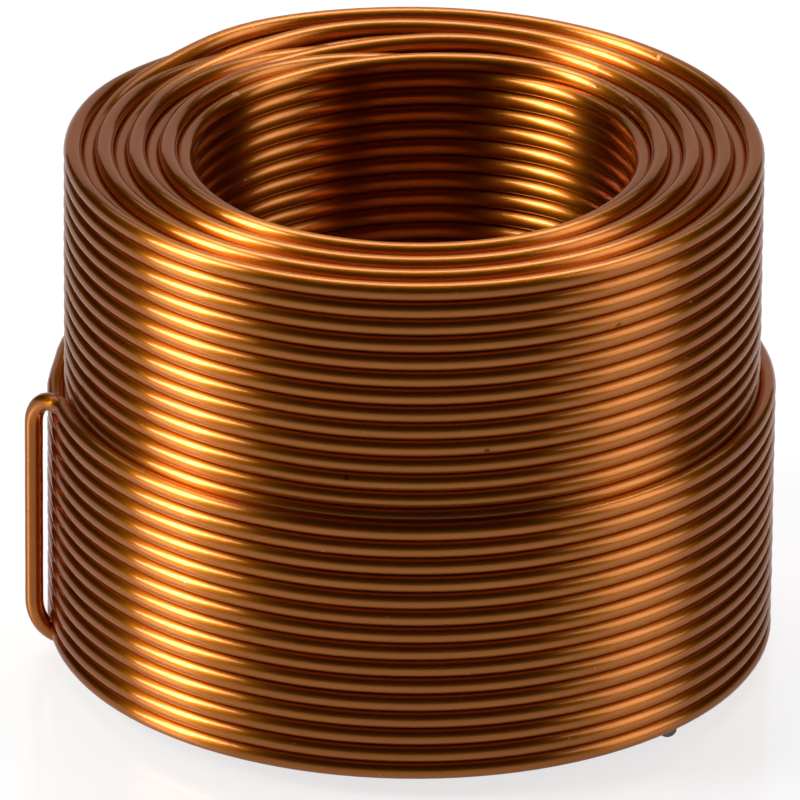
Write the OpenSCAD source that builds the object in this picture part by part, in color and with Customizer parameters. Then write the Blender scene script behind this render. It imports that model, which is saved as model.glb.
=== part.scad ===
// Air core inductor: one enamelled copper wire wound in nested layers on a bare
// bore, baked into a ring that holds itself, with both ends bent under the ring.
// The coil axis is Z. The ring lies over its two leads, which lie on z = 0.
// Sizes are in millimetres.

/* [Wire] */
// Diameter of the bare copper
copper_d = 1; // [0.7:0.05:1.3]
// Thickness of the hard enamel on the copper
enamel_t = 0.02; // [0.01:0.005:0.04]
// Thickness of the soft bonding coat over the enamel
bond_t = 0.01; // [0.005:0.005:0.02]

/* [Winding] */
// Bore inside the first layer
bore_d = 25; // [18:1:40]
// Number of full layers, an even number
layers = 8; // [6:2:12]
// Number of turns in a full layer
turns = 28; // [20:1:40]
// Number of turns in the part layer wound over the lower end
part_turns = 15; // [8:1:18]

/* [Finish lead] */
// Bearing at which the lead leaves the last turn
leave_at = 194.2; // [190:0.2:210]
// Angle by which the lead first swings out from the ring
swing_a = 28; // [15:1:35]
// Radius of that outward swing
swing_r = 1.9; // [1:0.1:2.2]
// Radius of the bend over the top of the leg
shoulder_r = 1.8; // [1.2:0.1:2.2]
// Free gap between the upright leg and the winding
leg_gap = 0.35; // [0.2:0.05:1]
// Radius of the bend at the foot of the leg
foot_r = 3; // [2:0.1:4]
// Angle between the foot and the line to the axis
foot_a = 19; // [0:1:35]
// Distance from the bore at which the foot ends
foot_inset = 1.7; // [1:0.1:3]

/* [Start lead] */
// Bearing of the wire's end under the rim
end_at = -40.6; // [-60:0.2:-30]
// Direction in which the wire's end points
end_heading = -80; // [-90:1:-70]
// Distance that the end stays back from the rim
end_inset = 1.4; // [1:0.1:2.5]
// Slope of the ramp that climbs to the first turn
ramp_a = 25; // [20:1:35]
// Radius of the bend at the foot of the ramp
ramp_r = 1.5; // [1:0.1:2]

/* [Tinned ends] */
// Thickness of the solder on the stripped copper
tin_t = 0.02; // [0.01:0.005:0.04]
// Length of stripped copper under the solder
tin_l = 3; // [2:0.1:4]
// Solder standing past the end of the copper
tin_cap = 0.12; // [0.1:0.01:0.2]

/* [Clearances] */
// Gap between the leads and the turns that lie over them
lead_gap = 0.05; // [0.03:0.01:0.2]
// Sinking of neighbouring turns into each other's bonding coat
side_melt = 0.005; // [0.004:0.001:0.01]

/* [Hidden] */

copper_tone = "#b4621f";
tin_tone = "#8f8c88";

// The turns of one layer lie side by side, coat to coat. A turn of the next layer
// drops into the groove between two of them until the hard enamels meet.
coat_d = copper_d + 2*(enamel_t + bond_t);
enamel_d = copper_d + 2*enamel_t;
turn_pitch = coat_d - side_melt;
layer_step = sqrt(pow(enamel_d, 2) - pow(turn_pitch/2, 2));
first_r = bore_d/2 + coat_d/2;
// The soft coat is drawn out of the bent leads, and leaves them at the hard enamel
lead_d = enamel_d;
tin_d = copper_d + 2*tin_t;
rest_z = max(lead_d, tin_d)/2;
first_z = 2*rest_z + lead_gap + coat_d/2;
part_layer = layers + 1;

function layer_r(n) = first_r + (n - 1)*layer_step;
// Even layers stand half a pitch higher than odd ones
function turn_z(n, k) = first_z + (k + (n % 2 == 0 ? 0.5 : 0))*turn_pitch;
function turn(n, k) = [layer_r(n), turn_z(n, k)];

// Turns that show, walked once round the section of the winding
under_side = [for (n = [1:layers]) turn(n, 0)];
part_side = [for (k = [0:part_turns - 1]) turn(part_layer, k)];
outer_side = [for (k = [part_turns - 1:turns - 2]) turn(layers, k)];
top_side = [for (n = [layers:-1:1]) turn(n, turns - 1)];
inner_side = [for (k = [turns - 2:-1:1]) turn(1, k)];
skin = concat(under_side, part_side, outer_side, top_side, inner_side);

// A straight is a hair thinner than a bend, and roots inside the bends it joins
hair = 0.005;
root = 0.08;
straight_d = lead_d - 2*hair;
// Shortest straight between two bends
neck = 0.3;

// Finish lead: the upright leg stands clear of the part layer
part_r = layer_r(part_layer);
part_top = turn_z(part_layer, part_turns - 1);
leg_r = part_r + coat_d/2 + leg_gap + lead_d/2;
// Point that the swing reaches, and the straight reach from it out to the leg
swing_x = part_r + swing_r*(1 - cos(swing_a));
swing_y = neck + swing_r*sin(swing_a);
along = swing_x*sin(swing_a) + swing_y*cos(swing_a);
reach = sqrt(pow(along, 2) + pow(leg_r, 2) - pow(swing_x, 2) - pow(swing_y, 2)) - along;
leg_turn = atan2(swing_y + reach*cos(swing_a), swing_x + reach*sin(swing_a));
leg_h = part_top - shoulder_r - foot_r - rest_z;
// The foot lies flat and points past the axis, and ends short of the bore
foot_end_r = bore_d/2 + foot_inset;
foot_l = leg_r*cos(foot_a) - foot_r - sqrt(pow(foot_end_r, 2) - pow(leg_r*sin(foot_a), 2));

// Start lead: a ramp comes down from the first turn, and a hook under the
// winding leads from it to the straight end
rim_r = part_r + coat_d/2;
end_x = (rim_r - end_inset)*cos(end_at);
end_y = (rim_r - end_inset)*sin(end_at);
hook_x = end_x - (neck + tin_l + tin_cap)*cos(end_heading);
hook_y = end_y - (neck + tin_l + tin_cap)*sin(end_heading);
ramp_h = first_z - rest_z - ramp_r*(1 - cos(ramp_a));
ramp_l = ramp_h/sin(ramp_a);
ramp_run = ramp_l*cos(ramp_a) + ramp_r*sin(ramp_a) + neck;
// The hook touches both the straight end and the line of the ramp
hook_in = hook_x*sin(end_heading) - hook_y*cos(end_heading);
hook_room = pow(hook_x, 2) + pow(hook_y, 2) - pow(first_r, 2) - pow(ramp_run, 2);
hook_r = hook_room/(2*(first_r - hook_in));
hook_cx = hook_x + hook_r*sin(end_heading);
hook_cy = hook_y - hook_r*cos(end_heading);
join_at = atan2(hook_cy, hook_cx) - atan2(ramp_run, first_r + hook_r);

tin_edge = tin_t + 0.7*tin_cap;
// A cut runs this far past the face that it opens
past = 1;

wire_fn = 32;
ring_fn = 120;

// Bend of the wire: it starts at the origin along +Z and turns towards +X
module bend(r, a) {
  translate([r, 0, 0]) rotate([90, 0, 0]) rotate([0, 0, 180 - a])
    rotate_extrude(angle = a, $fn = ring_fn) translate([r, 0]) circle(d = lead_d, $fn = wire_fn);
}

// Wire formed as on a wire bender. Each step feeds a length, rolls the wire
// about itself and bends it: [feed, roll, radius, angle]. Children go to its end.
module formed(steps, shown, i = 0) {
  if (i < len(steps)) {
    feed = steps[i][0];
    r = steps[i][2];
    a = steps[i][3];
    tail = a > 0 ? root : 0;
    if (shown) translate([0, 0, -root]) cylinder(d = straight_d, h = root + feed + tail, $fn = wire_fn);
    translate([0, 0, feed]) rotate([0, 0, steps[i][1]]) {
      if (shown && a > 0) bend(r, a);
      translate([r*(1 - cos(a)), 0, r*sin(a)]) rotate([0, a, 0])
        formed(steps, shown, i + 1) children();
    }
  } else {
    children();
  }
}

// From the first turn down the ramp and round the hook to the end under the rim
module start_lead(shown = true) {
  rotate([0, 0, join_at]) translate([first_r, 0, first_z])
    rotate([-90 - ramp_a, 0, 0]) rotate([0, 0, -90])
      formed([
        [ramp_l, 0, ramp_r, ramp_a],
        [neck, 90, hook_r, join_at + 90 - end_heading],
        [neck, 0, 0, 0]
      ], shown) children();
}

// From the last turn outwards, over, down the leg and in under the winding
module finish_lead(shown = true) {
  rotate([0, 0, leave_at]) translate([part_r, 0, part_top]) rotate([90, 0, 0])
    formed([
      [neck, 0, swing_r, swing_a],
      [reach - shoulder_r, -90, shoulder_r, 90],
      [leg_h, leg_turn + swing_a - foot_a - 90, foot_r, 90],
      [foot_l - tin_l - tin_cap, 0, 0, 0]
    ], shown) children();
}

// Stripped copper that the solder covers
module bare_end() {
  translate([0, 0, -root]) cylinder(d = copper_d, h = root + tin_l, $fn = wire_fn);
}

// Solder left by dipping: a sleeve with a closed, rounded end
module tinning() {
  color(tin_tone) difference() {
    rotate_extrude($fn = ring_fn) {
      square([tin_d/2 - tin_edge, tin_l + tin_cap]);
      square([tin_d/2, tin_l + tin_cap - tin_edge]);
      translate([tin_d/2 - tin_edge, tin_l + tin_cap - tin_edge]) circle(r = tin_edge, $fn = wire_fn);
    }
    translate([0, 0, -past]) cylinder(d = copper_d, h = past + tin_l, $fn = wire_fn);
  }
}

// The wire itself: its turns, bonded side by side as one ring, and both leads
module winding() {
  color(copper_tone) {
    rotate_extrude($fn = ring_fn) {
      polygon(skin);
      for (t = skin) translate(t) circle(d = coat_d, $fn = wire_fn);
    }
    start_lead() bare_end();
    finish_lead() bare_end();
  }
}

module start_tinning() {
  start_lead(shown = false) tinning();
}

module finish_tinning() {
  finish_lead(shown = false) tinning();
}

winding();
start_tinning();
finish_tinning();
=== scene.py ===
# %% [markdown]
# # Air core inductor
# The real object is one enamelled copper wire, wound in nested layers on a mandrel and
# baked, so that its bonding coat holds the turns together when the mandrel is pulled out.
# Both ends are bent in under the coil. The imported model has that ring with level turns.
# Here the wire is made again as it runs, from one end to the other, round that frame.

# %% Load the frame
import math

import bpy
import numpy as np
from mathutils import Matrix


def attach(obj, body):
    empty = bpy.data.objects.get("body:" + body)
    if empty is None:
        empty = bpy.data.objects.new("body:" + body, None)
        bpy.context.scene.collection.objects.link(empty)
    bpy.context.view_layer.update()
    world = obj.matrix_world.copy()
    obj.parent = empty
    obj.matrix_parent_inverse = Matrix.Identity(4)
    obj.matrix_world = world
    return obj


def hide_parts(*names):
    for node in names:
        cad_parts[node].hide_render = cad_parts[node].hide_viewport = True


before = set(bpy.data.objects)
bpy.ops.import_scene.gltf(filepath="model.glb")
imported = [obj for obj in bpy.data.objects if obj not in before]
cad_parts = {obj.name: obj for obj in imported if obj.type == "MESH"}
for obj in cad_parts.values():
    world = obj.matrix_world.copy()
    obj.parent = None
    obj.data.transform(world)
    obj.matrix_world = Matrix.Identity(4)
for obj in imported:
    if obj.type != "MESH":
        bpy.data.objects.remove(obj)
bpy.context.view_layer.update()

print("nodes:", sorted(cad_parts))

# %% [markdown]
# ## Sizes
# The numbers that set the coil are the ones that its maker chose: a wire, a mandrel,
# a count of layers and turns. Everything else follows from them, so they come first.
# Lengths are in millimetres and become metres when a mesh is made.

# %% Sizes of the wire and the winding
MM = 0.001
# Copper, hard enamel, soft bonding coat, and how far neighbours melt into each other
COPPER_D = 1.0
ENAMEL_T = 0.02
BOND_T = 0.01
SIDE_MELT = 0.005
# The winding
BORE_D = 25.0
LAYERS = 8
TURNS = 28
PART_TURNS = 15
# Solder on the ends: round the copper, along it and past its end
TIN_T = 0.02
TIN_L = 3.0
TIN_CAP = 0.12
# Gap between the leads and the turns that lie over them
LEAD_GAP = 0.05

coat_d = COPPER_D + 2*(ENAMEL_T + BOND_T)
enamel_d = COPPER_D + 2*ENAMEL_T
pitch = coat_d - SIDE_MELT
layer_step = math.sqrt(enamel_d**2 - (pitch/2)**2)
first_r = BORE_D/2 + coat_d/2
lead_d = enamel_d
rest_z = max(lead_d, COPPER_D + 2*TIN_T)/2
first_z = 2*rest_z + LEAD_GAP + coat_d/2
part_r = first_r + LAYERS*layer_step
part_top = first_z + (PART_TURNS - 1)*pitch
print(f"turn pitch {pitch:.3f} mm, layer step {layer_step:.3f} mm")
print(f"part layer at radius {part_r:.2f} mm, up to {part_top:.2f} mm")

# %% [markdown]
# ## How the wire runs
# A wound coil isn't a spiral stair. Each turn lies level in the groove of the turns under
# it, and in one zone at the back it steps over to the next groove. Odd layers climb and
# even layers come back down, so in that zone the layers slide past each other.
# At the end of a layer the last turn rides up, crosses over the dipping first turn of
# the next layer and settles on top of it. A path with these steps is written as two
# functions of the angle that the wire has run, one for its height and one for its radius.

# %% The zone where turns step over
# Its middle and half its width for each layer, in degrees
ZONE_MID = [286.0, 262.0, 261.0, 249.0, 235.0, 230.0, 223.0, 221.0, 188.0]
ZONE_HALF = [62.0, 44.0, 52.0, 44.0, 48.0, 40.0, 41.0, 41.0, 18.0]
# How far a wire stands out of its groove in mid step, in millimetres for each layer under
# it, the hump of a layer's last step as a share of the pitch, and how far into that step
# the wire starts to roll outwards
BULGE = 0.01
HUMP = 0.1
ROLL_FROM = 0.4
print("turns step over between", ZONE_MID[-1] - ZONE_HALF[-1], "and",
      ZONE_MID[0] + ZONE_HALF[0], "degrees of the wire's run")


def smooth(x):
    """Runs from 0 to 1 with x and starts and ends level: 3x squared less 2x cubed."""
    x = np.clip(x, 0.0, 1.0)
    return x*x*(3.0 - 2.0*x)


def wire_run(angle, layer, first_rev, turns):
    """Radius and height of one layer's wire at the angles it has run, in degrees.

    Whole steps are counted, and the step under way adds its smoothed share. The last
    step leads out of the layer: it climbs half a pitch, then rolls outwards by one layer
    over a low hump, on the turn that makes room for it."""
    start = ZONE_MID[layer - 1] - ZONE_HALF[layer - 1] + 360.0*first_rev
    whole, part = np.divmod(angle - start, 360.0)
    share = smooth(part/(2*ZONE_HALF[layer - 1]))
    steps = np.where(angle < start, 0.0, whole + share)
    last = turns - 1
    out = np.clip(steps - last, 0.0, 1.0)
    rise = np.where(out < 0.5, out, 0.5 + HUMP*np.sin(2*math.pi*(out - 0.5)))
    climbed = np.minimum(steps, last) + rise
    height = climbed if layer % 2 else turns - 0.5 - climbed
    bump = np.sin(2*math.pi*(steps % 1.0))**2
    rolled = smooth((out - ROLL_FROM)/(1 - ROLL_FROM))
    radius = first_r + (layer - 1)*(layer_step + BULGE*bump) + layer_step*rolled
    return radius, first_z + pitch*height


# %% [markdown]
# ## The leads
# A lead is bent by hand or on a wire bender, and a bender's table says it best: feed so
# much wire, roll it about itself, bend it by so much round a pin. Each bend is an arc of
# a circle, so points and directions along it are exact and need no fitting.

# %% Bend a lead from a table
# About the distance between points of a lead, and the shortest straight between bends
LEAD_STEP = 0.25
NECK = 0.3


def deg(value):
    """An angle given in degrees, in radians."""
    return math.radians(value)


def formed(place, steps):
    """Points and side directions along a lead that starts at place, a 4x4 frame.

    A step feeds along the frame's z, rolls about z by an angle shared over the feed, and
    bends towards x: at angle a the point is (r - r cos a, 0, r sin a)."""
    points, sides, normals = [], [], []
    place = place.copy()
    for feed, roll, radius, angle in steps:
        t = np.linspace(0, 1, max(2, int(feed/LEAD_STEP)) + 1)[:, None]
        turn = np.radians(roll)*t
        points.append(place[:3, 3] + place[:3, 2]*feed*t)
        sides.append(np.cos(turn)*place[:3, 0] + np.sin(turn)*place[:3, 1])
        normals.append(-np.sin(turn)*place[:3, 0] + np.cos(turn)*place[:3, 1])
        place[:3, 3] = points[-1][-1]
        place[:3, 0], place[:3, 1] = sides[-1][-1], normals[-1][-1]
        if angle:
            count = max(6, int(deg(angle)*radius/LEAD_STEP)) + 1
            a = deg(angle)*np.linspace(0, 1, count)[:, None]
            x, y, z, origin = place[:3].T.copy()
            points.append(origin + radius*((1 - np.cos(a))*x + np.sin(a)*z))
            sides.append(np.cos(a)*x - np.sin(a)*z)
            normals.append(np.repeat(y[None], count, 0))
            place[:3, 2] = math.sin(deg(angle))*x + math.cos(deg(angle))*z
            place[:3, 3], place[:3, 0] = points[-1][-1], sides[-1][-1]
    points, sides, normals = (np.concatenate(v) for v in (points, sides, normals))
    moved = np.r_[True, np.linalg.norm(np.diff(points, axis=0), axis=1) > 1e-6]
    return points[moved], sides[moved], normals[moved]


# %% The finish lead
# It leaves the last turn at a bearing, swings out by an angle, bends over a shoulder,
# runs down clear of the part layer and bends in under the ring, to end near the bore
LEAVE_AT = 194.2
SWING_A, SWING_R = 28.0, 1.9
SHOULDER_R, FOOT_R = 1.8, 3.0
LEG_GAP = 0.35
FOOT_A, FOOT_INSET = 19.0, 1.7

leg_r = part_r + coat_d/2 + LEG_GAP + lead_d/2
# The point that the swing reaches, and the straight reach from it out to the leg
swing_x = part_r + SWING_R*(1 - math.cos(deg(SWING_A)))
swing_y = NECK + SWING_R*math.sin(deg(SWING_A))
along = swing_x*math.sin(deg(SWING_A)) + swing_y*math.cos(deg(SWING_A))
reach = math.sqrt(along**2 + leg_r**2 - swing_x**2 - swing_y**2) - along
leg_turn = math.degrees(math.atan2(swing_y + reach*math.cos(deg(SWING_A)),
                                   swing_x + reach*math.sin(deg(SWING_A))))
leg_h = part_top - SHOULDER_R - FOOT_R - rest_z
# The foot lies flat, points past the axis and ends short of the bore
foot_end_r = BORE_D/2 + FOOT_INSET
foot_l = (leg_r*math.cos(deg(FOOT_A)) - FOOT_R
          - math.sqrt(foot_end_r**2 - (leg_r*math.sin(deg(FOOT_A)))**2))


def turned(azimuth, radius, height, axes):
    """A frame on the coil at an azimuth, with its axes given as radial, around and up."""
    a = deg(azimuth)
    basis = np.array([[math.cos(a), -math.sin(a), 0.0],
                      [math.sin(a), math.cos(a), 0.0],
                      [0.0, 0.0, 1.0]])
    place = np.eye(4)
    place[:3, :3] = basis @ np.array(axes, float).T
    place[:3, 3] = basis @ np.array([radius, 0, height])
    return place


finish_place = turned(LEAVE_AT, part_r, part_top, [(1, 0, 0), (0, 0, 1), (0, -1, 0)])
finish_lead = formed(finish_place, [
    (NECK, 0, SWING_R, SWING_A),
    (reach - SHOULDER_R, -90, SHOULDER_R, 90),
    (leg_h, leg_turn + SWING_A - FOOT_A - 90, FOOT_R, 90),
    (foot_l - TIN_L - TIN_CAP, 0, 0, 0),
])
print("finish lead ends at", finish_lead[0][-1].round(3), "mm")

# %% The start lead
# Its end lies at a bearing and points in a direction, a little back from the rim. A hook
# leads there from the foot of the ramp that comes down from the first turn
END_AT, END_HEADING, END_INSET = -40.6, -80.0, 1.4
RAMP_A, RAMP_R = 25.0, 1.5

end_r = part_r + coat_d/2 - END_INSET
tail_l = NECK + TIN_L + TIN_CAP
head_x, head_y = math.cos(deg(END_HEADING)), math.sin(deg(END_HEADING))
hook_x = end_r*math.cos(deg(END_AT)) - tail_l*head_x
hook_y = end_r*math.sin(deg(END_AT)) - tail_l*head_y
ramp_l = (first_z - rest_z - RAMP_R*(1 - math.cos(deg(RAMP_A))))/math.sin(deg(RAMP_A))
ramp_run = ramp_l*math.cos(deg(RAMP_A)) + RAMP_R*math.sin(deg(RAMP_A)) + NECK
# The hook touches both the straight end and the line of the ramp
hook_room = hook_x**2 + hook_y**2 - first_r**2 - ramp_run**2
hook_r = hook_room/(2*(first_r - hook_x*head_y + hook_y*head_x))
join_at = (math.degrees(math.atan2(hook_y - hook_r*head_x, hook_x + hook_r*head_y))
           - math.degrees(math.atan2(ramp_run, first_r + hook_r)))
# The wire eases out of the first turn by a bend of its own, so that bend begins before
# the point where the ramp's line meets the turn's
ease = RAMP_R*math.tan(deg(RAMP_A/2))
ease_at = join_at - math.degrees(math.atan2(ease, first_r))
ramp_place = turned(join_at, first_r, first_z, [(0, 0, -1), (-1, 0, 0), (0, 1, 0)])
ramp_place[:3, 3] -= ease*ramp_place[:3, 2]

start_lead = formed(ramp_place, [
    (0, 0, RAMP_R, RAMP_A),
    (ramp_l - ease, 180, RAMP_R, RAMP_A),
    (NECK, 90, hook_r, join_at + 90 - END_HEADING),
    (NECK, 0, 0, 0),
])
print("start lead ends at", start_lead[0][-1].round(3), "mm")

# %% [markdown]
# ## One path from end to end
# The start lead is walked backwards into the first turn, then come 239 turns, then the
# finish lead. A hand-fed wire never lies quite true, so a few slow waves with no common
# period move it by a hundredth of a millimetre and keep the turns from looking cloned.

# %% Join leads and layers into one path
STEPS_PER_TURN = 112
# Size of each slow wave in millimetres, then how often it comes in a turn and its start
WANDER = 0.006
WAVES_OUT = [(0.371, 0), (1.131, 2), (2.617, 0)]
WAVES_UP = [(0.713, 0), (1.873, 0), (3.319, 1)]


def wander(a, waves):
    """WANDER times the sum of sin(rate a + start), with a and start in radians."""
    return WANDER*sum(np.sin(rate*a + start) for rate, start in waves)


def layer_spans():
    """For each layer: its number, the turns before it, its turns and its two end angles."""
    spans, rev, angle = [], 0, -ease_at
    for layer in range(1, LAYERS + 2):
        if layer <= LAYERS:
            turns, over = TURNS, ZONE_MID[layer - 1] + ZONE_HALF[layer - 1]
        else:
            turns, over = PART_TURNS, 360.0 - LEAVE_AT
        stop = over + 360.0*(rev + turns - 1)
        spans.append((layer, rev, turns, angle, stop))
        rev, angle = rev + turns, stop
    return spans


# The wire runs clockwise as seen from above, and each cut is the point where one layer's
# piece ends and the next begins
points, sides, cuts = [start_lead[0][::-1]], [-start_lead[2][::-1]], []
for layer, rev, turns, begin, stop in layer_spans():
    count = int(round((stop - begin)/360.0*STEPS_PER_TURN))
    angle = np.linspace(begin, stop, count + 1)[1:]
    radius, height = wire_run(angle, layer, rev, turns)
    a = np.radians(angle)
    radius = radius + wander(a, WAVES_OUT)
    height = height + wander(a, WAVES_UP)
    around = np.stack([np.cos(a), -np.sin(a), np.zeros_like(a)], 1)
    points.append(around*radius[:, None] + np.stack([0*a, 0*a, height], 1))
    sides.append(around)
    cuts.append(sum(len(p) for p in points) - 1)
points.append(finish_lead[0][1:])
sides.append(finish_lead[1][1:])
path, side = np.concatenate(points), np.concatenate(sides)
cuts = [0] + cuts[:-1] + [len(path) - 1]
run = np.r_[0.0, np.cumsum(np.linalg.norm(np.diff(path, axis=0), axis=1))]
print(f"wire length {run[-1]/1000:.2f} m in {len(path)} steps")

# %% [markdown]
# ## Sweep the wire
# A round section is carried along the path. Its two axes stand square to the direction of
# travel: the side direction with its lengthwise part taken out, and the cross product of
# the two. The whole grid of points comes out of one array expression. Each point also
# keeps where it lay on the straight, unbent wire, because drawing lines and coating
# streaks follow the wire and not the coil.

# %% The swept wire, a piece for each layer
# Points round the wire, and the trace of bonding coat that is left on it after baking
SECTION = 16
BOND_LEFT = 0.001
wire_r = enamel_d/2 + BOND_LEFT

travel = np.gradient(path, run, axis=0)
travel /= np.linalg.norm(travel, axis=1, keepdims=True)
side = side - travel*np.sum(side*travel, axis=1, keepdims=True)
side /= np.linalg.norm(side, axis=1, keepdims=True)
cross = np.cross(travel, side)


def new_object(name, points_m, faces, smooth_count):
    """Makes a mesh object at the origin; its first smooth_count faces are shaded smooth."""
    mesh = bpy.data.meshes.new(name)
    mesh.from_pydata(points_m.tolist(), [], faces)
    mesh.polygons.foreach_set("use_smooth", np.arange(len(faces)) < smooth_count)
    mesh.update()
    piece = bpy.data.objects.new(name, mesh)
    bpy.context.scene.collection.objects.link(piece)
    return piece


def swept(name, first, last):
    """A closed tube round path points first to last, with a flat cap at either end."""
    column = np.arange(SECTION)
    turn = column*2*math.pi/SECTION
    part = slice(first, last + 1)
    rows = last + 1 - first
    out = side[part, None]*np.cos(turn)[:, None] + cross[part, None]*np.sin(turn)[:, None]
    grid = path[part, None] + wire_r*out
    row = np.arange(rows - 1)[:, None]*SECTION
    i, j = row + column, row + (column + 1) % SECTION
    quads = np.stack([i, j, j + SECTION, i + SECTION], -1).reshape(-1, 4).tolist()
    caps = [column[::-1].tolist(), ((rows - 1)*SECTION + column).tolist()]
    piece = new_object(name, grid.reshape(-1, 3)*MM, quads + caps, len(quads))
    # The caps' rims are sharp, so that the shading of the round side ends square there
    ends = np.empty(2*len(piece.data.edges), int)
    piece.data.edges.foreach_get("vertices", ends)
    ring_of = ends.reshape(-1, 2)//SECTION
    rims = (ring_of == 0).all(1) | (ring_of == rows - 1).all(1)
    piece.data.edges.foreach_set("use_edge_sharp", rims)
    unbent = np.stack(np.broadcast_arrays(
        wire_r*np.cos(turn), wire_r*np.sin(turn), run[part, None]), -1)
    straight = piece.data.attributes.new("unbent", "FLOAT_VECTOR", "POINT")
    straight.data.foreach_set("vector", (unbent.reshape(-1)*MM).astype(np.float32))
    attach(piece, "root")
    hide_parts("winding")
    return piece


wires = [swept(f"wire_layer_{k + 1}", cuts[k], cuts[k + 1]) for k in range(LAYERS + 1)]
for wire in wires:
    wire.data.calc_loop_triangles()
print(len(wires), "pieces,", sum(len(w.data.loop_triangles) for w in wires), "triangles")

# %% [markdown]
# ## Writing shader maths as expressions
# A procedural material is a lot of small sums. One class wraps a socket, so that
# 1 - mask or noise*0.2 adds its own Math node, and any other node comes from one method.

# %% A small shader language


class Socket:
    """A node output that can be used in sums; numbers on either side are allowed."""

    def __init__(self, shader, output):
        self.shader, self.output = shader, output

    def math(self, operation, first, second):
        return self.shader.node("ShaderNodeMath", {"operation": operation},
                                {0: first, 1: second})

    def __add__(self, other): return self.math("ADD", self, other)
    def __radd__(self, other): return self.math("ADD", other, self)
    def __sub__(self, other): return self.math("SUBTRACT", self, other)
    def __rsub__(self, other): return self.math("SUBTRACT", other, self)
    def __mul__(self, other): return self.math("MULTIPLY", self, other)
    def __rmul__(self, other): return self.math("MULTIPLY", other, self)

    def or_more(self, other):
        """The larger of the two."""
        return self.math("MAXIMUM", self, other)

    def between(self, low, high):
        """0 below low, 1 above high, and smooth in between."""
        return self.shader.node("ShaderNodeMapRange", {"interpolation_type": "SMOOTHSTEP"},
                                {"Value": self, "From Min": low, "From Max": high})


class Shader:
    """One material and its nodes."""

    def __init__(self, name):
        self.material = bpy.data.materials.new(name)
        self.material.use_nodes = True
        self.tree = self.material.node_tree
        self.tree.nodes.clear()

    def node(self, kind, settings=None, inputs=None, output=0):
        """Adds a node: its settings first, then a value or a link for each socket named."""
        node = self.tree.nodes.new(kind)
        for key, value in (settings or {}).items():
            setattr(node, key, value)
        for key, value in (inputs or {}).items():
            socket = node.inputs[key]
            if isinstance(value, Socket):
                self.tree.links.new(value.output, socket)
            elif socket.type == "RGBA":
                socket.default_value = (*value, 1)
            else:
                socket.default_value = value
        return Socket(self, node.outputs[output])

    def mix(self, share, a, b):
        """Goes from colour a to colour b. A Mix node has sockets of each type, one after
        the other: its share is input 0, its colours are 6 and 7 and its result is 2."""
        return self.node("ShaderNodeMix", {"data_type": "RGBA"},
                         {0: share, 6: a, 7: b}, output=2)

    def noise(self, at, scale, detail, rough):
        """Noise with about scale lumps a metre, and detail finer layers over them."""
        return self.node("ShaderNodeTexNoise", None,
                         {"Vector": at, "Scale": scale, "Detail": detail, "Roughness": rough})

    def distance(self, at, point=(0.0, 0.0, 0.0)):
        """Distance in metres from a fixed point."""
        return self.node("ShaderNodeVectorMath", {"operation": "DISTANCE"},
                         {0: at, 1: point}, output="Value")

    def bump(self, height, strength, distance, under=None):
        """A normal tilted by a height. Another bump may lie under it."""
        inputs = {"Height": height, "Strength": strength, "Distance": distance}
        if under:
            inputs["Normal"] = under
        return self.node("ShaderNodeBump", None, inputs)

    def stretched(self, at, scale):
        """The same coordinates, stretched or squeezed along each axis."""
        return self.node("ShaderNodeMapping", None, {"Vector": at, "Scale": scale})

    def finish(self, **inputs):
        """Ends in one Principled surface and returns the material."""
        surface = self.node("ShaderNodeBsdfPrincipled", None,
                            {key.replace("_", " "): value for key, value in inputs.items()})
        out = self.tree.nodes.new("ShaderNodeOutputMaterial")
        self.tree.links.new(surface.output, out.inputs["Surface"])
        return self.material


# %% [markdown]
# ## Enamelled copper
# Magnet wire is bright drawn copper under two thin amber coats. The metal gives the deep
# orange and the long highlights, and the enamel over it gives a second, sharper gloss.
# The die leaves fine lines along the wire and the coat varies a little in tone, so both
# are written on the unbent wire. Dust and small nicks come from handling, after the wire
# is wound, so they have their places on the coil. One pale spot at the top is a painted
# highlight, and darker patches over the top right turns are painted shade.

# %% Marks of handling, a painted highlight and painted shade
# Each with its place on the coil and its size, in millimetres
# Pale nicks and scuffs; the spot at (14.0, 12.8, 31.0) is a painted highlight, where a
# highlight ends softly
SCUFFS_AND_HIGHLIGHT = [(-10.2, 7.9, 30.6, 0.3), (6.5, 11.8, 30.9, 0.3), (14.0, 12.8, 31.0, 0.25),
          (15.5, -11.9, 26.9, 0.2), (-17.6, -11.3, 11.6, 0.35), (-17.4, -11.6, 12.7, 0.25),
          (-17.0, -12.2, 13.6, 0.35), (-18.4, -7.2, 17.2, 0.2), (-4.9, -20.0, 15.0, 0.2)]
DENTS = [(7.9, 10.9, 30.9, 0.22), (4.2, -19.4, 21.0, 0.24), (-3.6, -19.4, 19.3, 0.2),
         (11.4, -16.1, 27.3, 0.22)]
# Darker patches over the top right turns: their colour is painted shade, and they are rougher
# too
TOP_SHADE_PATCHES = [(10.6, 8.7, 31.0, 0.8), (11.4, 7.6, 31.0, 0.9), (12.0, 6.2, 30.9, 1.0),
          (12.6, 4.6, 30.9, 0.8), (13.4, 7.8, 31.0, 0.9), (14.2, 6.4, 31.0, 0.9)]


def patches(s, place, marks):
    """1 on each mark and 0 off it: 1 - smoothstep(size/2, size) of the distance."""
    worn = 0.0
    for x, y, z, size in marks:
        away = s.distance(place, (x*MM, y*MM, z*MM))
        worn = (1 - away.between(size/2*MM, size*MM)).or_more(worn)
    return worn


# Among the pale spots is one painted highlight, and the darker places are painted shade
print(len(SCUFFS_AND_HIGHLIGHT), "pale_spots,", len(DENTS), "dents and", len(TOP_SHADE_PATCHES), "darkened places")

# %% The copper's material
BRIGHT, DEEP = (0.6, 0.178, 0.008), (0.55, 0.16, 0.006)
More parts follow.
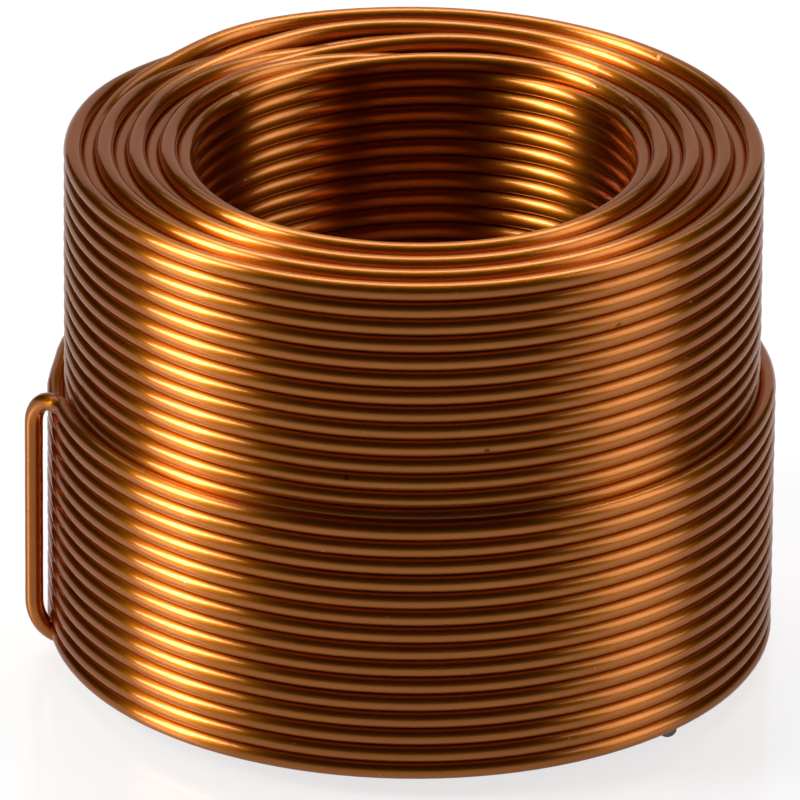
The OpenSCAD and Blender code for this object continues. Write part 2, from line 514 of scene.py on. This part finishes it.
# Pale colour of the nicks and of one painted highlight, and dark colour of the dents and of
# painted shade
SCUFFED_AND_HIGHLIGHT, DENTED_AND_SHADED = (0.85, 0.48, 0.26), (0.24, 0.085, 0.012)
# The surface's own tangent runs round the coil, and the lines spread light across it
ACROSS = 0.25


def enamelled_copper():
    """Metal under a clear coat. Its highlight is tight along the wire and wide across it,
    because the die's lines run along it."""
    s = Shader("enamelled_copper")
    unbent = s.node("ShaderNodeAttribute", {"attribute_name": "unbent"}, output="Vector")
    place = s.node("ShaderNodeTexCoord", output="Object")
    lines = s.noise(s.stretched(unbent, (9000.0, 9000.0, 60.0)), 1.0, 2.0, 0.6)
    tone = s.noise(s.stretched(unbent, (600.0, 600.0, 90.0)), 1.0, 3.0, 0.55)
    grit = s.noise(place, 6000.0, 2.0, 0.6)
    dust = s.noise(place, 4000.0, 0.0, 0.0).between(0.85, 0.88)*0.5
    scuff_and_highlight = (patches(s, place, SCUFFS_AND_HIGHLIGHT)*grit.between(0.42, 0.55)).or_more(dust)
    dent = patches(s, place, DENTS)
    # Painted shade over the top right turns, broken up by the grit
    top_shade = patches(s, place, TOP_SHADE_PATCHES)*grit.between(0.48, 0.56)
    color = s.mix(tone.between(0.35, 0.7), BRIGHT, DEEP)
    # Pale on the scuffs and the dust, and a painted highlight on one spot at the top
    color = s.mix(scuff_and_highlight, color, SCUFFED_AND_HIGHLIGHT)
    # Dark in the dents, and painted shade over the top right turns
    color = s.mix(dent.or_more(top_shade*0.8), color, DENTED_AND_SHADED)
    rough = 0.28 + 0.05*lines + 0.03*tone + 0.25*scuff_and_highlight + 0.2*top_shade
    marked = s.bump(scuff_and_highlight*grit - dent, 0.25, 0.04*MM)
    drawn = s.bump(lines, 0.05, 0.02*MM, under=marked)
    return s.finish(Base_Color=color, Metallic=1.0, Roughness=rough, Normal=drawn,
                    Anisotropic=0.92, Anisotropic_Rotation=ACROSS,
                    Specular_Tint=(0.7, 0.42, 0.28),
                    Coat_Weight=1.0 - 0.8*scuff_and_highlight.or_more(dent),
                    Coat_Roughness=0.08, Coat_IOR=1.5)


copper = enamelled_copper()
for wire in wires:
    wire.data.materials.append(copper)
print("copper:", len(copper.node_tree.nodes), "nodes")

# %% [markdown]
# ## Solder on the wire ends
# The ends are stripped and dipped in solder. It wets the copper as a thin grey skin, dull
# where it froze slowly, so its roughness is patchy and its surface a little uneven.

# %% The solder's material
DULL, CLEAN = (0.22, 0.205, 0.19), (0.36, 0.34, 0.32)


def dipped_solder():
    """Grey metal, patchy in tone and in gloss."""
    s = Shader("dipped_solder")
    place = s.node("ShaderNodeTexCoord", output="Object")
    patch = s.noise(place, 1400.0, 3.0, 0.6)
    grain = s.noise(place, 9000.0, 2.0, 0.5)
    return s.finish(Base_Color=s.mix(patch.between(0.35, 0.65), DULL, CLEAN), Metallic=1.0,
                    Roughness=0.32 + 0.25*patch,
                    Normal=s.bump(patch*0.7 + grain*0.3, 0.4, 0.03*MM))


solder = dipped_solder()
for name in ("start_tinning", "finish_tinning"):
    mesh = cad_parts[name].data
    mesh.materials.clear()
    mesh.materials.append(solder)
print("solder:", len(solder.node_tree.nodes), "nodes")

# %% [markdown]
# ## Studio
# The coil lies on a white table. Bare metal shows what is round it, so the room is as
# much a part of the look as the material is. A tall soft box stands on the left and a
# dimmer one on the right. A wide strip hangs over the back, with a softer box round it,
# and a faint wall closes the back. The room in front is dark and a little warm.

# %% Table and dark room
# Sizes in metres. Metal sees no glow within the first radius, and all of it past the second,
# so the table's mirror image has a painted shadow under the coil
NEAR_X, FAR_X, NEAR_Y, FAR_Y = -2.5, 2.5, -2.0, 3.0
SHADE_FROM, SHADE_TO = 0.017, 0.0195
# The table's own colour, and the glow that the eye and metal see over it
TABLE_GREY = (0.32, 0.32, 0.32)
EYE_GLOW = (0.74, 0.74, 0.74)
METAL_GLOW = (0.28, 0.28, 0.28)
NO_GLOW = (0.0, 0.0, 0.0)
ROOM_GLOW = (0.01, 0.004, 0.002)


def white_table():
    """Grey paper that catches the shadow, and a glow that only lifts what is seen of it:
    by the eye to white, and in metal a little less, but for the part under the coil, where
    metal sees a painted shadow instead."""
    s = Shader("white_table")
    away = s.distance(s.node("ShaderNodeNewGeometry", output="Position"))
    eye, gloss, glass = (s.node("ShaderNodeLightPath", output=f"Is {kind} Ray")
                         for kind in ("Camera", "Glossy", "Transmission"))
    # Painted shadow: metal sees none of the glow under the coil
    clear = away.between(SHADE_FROM, SHADE_TO)
    glow = s.mix((gloss + glass)*clear, NO_GLOW, METAL_GLOW)
    glow = s.mix(eye, glow, EYE_GLOW)
    return s.finish(Base_Color=TABLE_GREY, Roughness=0.15, Emission_Color=glow,
                    Emission_Strength=1.0)


corners = np.array([[NEAR_X, NEAR_Y, 0], [FAR_X, NEAR_Y, 0], [FAR_X, FAR_Y, 0],
                    [NEAR_X, FAR_Y, 0]])
table = new_object("table", corners, [[0, 1, 2, 3]], 0)
table.data.materials.append(white_table())

room = bpy.data.worlds.new("room")
room.use_nodes = True
room.node_tree.nodes["Background"].inputs["Color"].default_value = (*ROOM_GLOW, 1)
bpy.context.scene.world = room
print("table", FAR_X - NEAR_X, "by", FAR_Y - NEAR_Y, "m")

# %% Soft boxes
# Each has a bearing and a height in degrees, a distance in metres, a width and a height
# of its face as seen from the coil in degrees, and a glow, where white is 1
SOFT_BOXES = [
    ("left_box", 189, 31, 0.55, 22, 40, 5.4),
    ("left_core", 190, 33, 0.53, 14, 24, 2.4),
    ("right_box", 348, 31, 0.55, 30, 42, 1.1),
    ("right_core", 352, 31, 0.53, 14, 30, 0.5),
    ("back_box", 90, 62, 0.6, 60, 40, 0.7),
    ("back_core", 90, 66, 0.58, 50, 16, 3.3),
    ("back_wall", 90, 16, 1.2, 60, 36, 0.32),
]
# The watts with which a square metre of an area lamp shows as white
WATTS = 4


def soft_box(name, azimuth, elevation, distance, wide, high, glow):
    """An area lamp that faces the coil. Half its width is distance times tan(wide/2)."""
    lamp_data = bpy.data.lights.new(name, "AREA")
    lamp_data.shape = "RECTANGLE"
    lamp_data.size = 2*distance*math.tan(deg(wide/2))
    lamp_data.size_y = 2*distance*math.tan(deg(high/2))
    lamp_data.energy = WATTS*lamp_data.size*lamp_data.size_y*glow
    a, e = deg(azimuth), deg(elevation)
    way = np.array([math.cos(a)*math.cos(e), math.sin(a)*math.cos(e), math.sin(e)])
    level = np.array([-math.sin(a), math.cos(a), 0.0])
    place = np.eye(4)
    place[:3, :3] = np.stack([level, np.cross(way, level), way], 1)
    place[:3, 3] = way*distance
    lamp = bpy.data.objects.new(name, lamp_data)
    lamp.matrix_world = Matrix(place.tolist())
    bpy.context.scene.collection.objects.link(lamp)


for box in SOFT_BOXES:
    soft_box(*box)
print(len(SOFT_BOXES), "soft boxes")

# %% [markdown]
# ## Camera
# A product is often shot from well back with a long lens, which keeps the turns nearly
# level. Its place is given by what it aims at, how far back and how high it stands, and
# how far it is rolled.

# %% Camera
# Metres, and degrees; the sensor's width is in millimetres, as its lens is
SENSOR = 36.0
CAMERA_BACK = 0.7924
CAMERA_UP = 24.879
CAMERA_ROLL = 0.534
CAMERA_AIM = (-0.000672, 0.0, 0.01509)
FIELD = 3.295

camera = bpy.data.cameras.new("camera")
camera.sensor_width = SENSOR
camera.lens = SENSOR/2/math.tan(deg(FIELD/2))
camera.clip_start, camera.clip_end = 0.05, 20.0
eye = bpy.data.objects.new("camera", camera)
back = np.array([0, -math.cos(deg(CAMERA_UP)), math.sin(deg(CAMERA_UP))])
right = np.array([1.0, 0, 0])
up = np.cross(right, -back)
c, s = math.cos(deg(CAMERA_ROLL)), math.sin(deg(CAMERA_ROLL))
stand = np.eye(4)
stand[:3, :3] = np.stack([right*c + up*s, up*c - right*s, back], 1)
stand[:3, 3] = np.array(CAMERA_AIM) + back*CAMERA_BACK
eye.matrix_world = Matrix(stand.tolist())
bpy.context.scene.collection.objects.link(eye)
bpy.context.scene.camera = eye
bpy.context.scene.view_settings.view_transform = "Standard"
print(f"lens {camera.lens:.0f} mm")
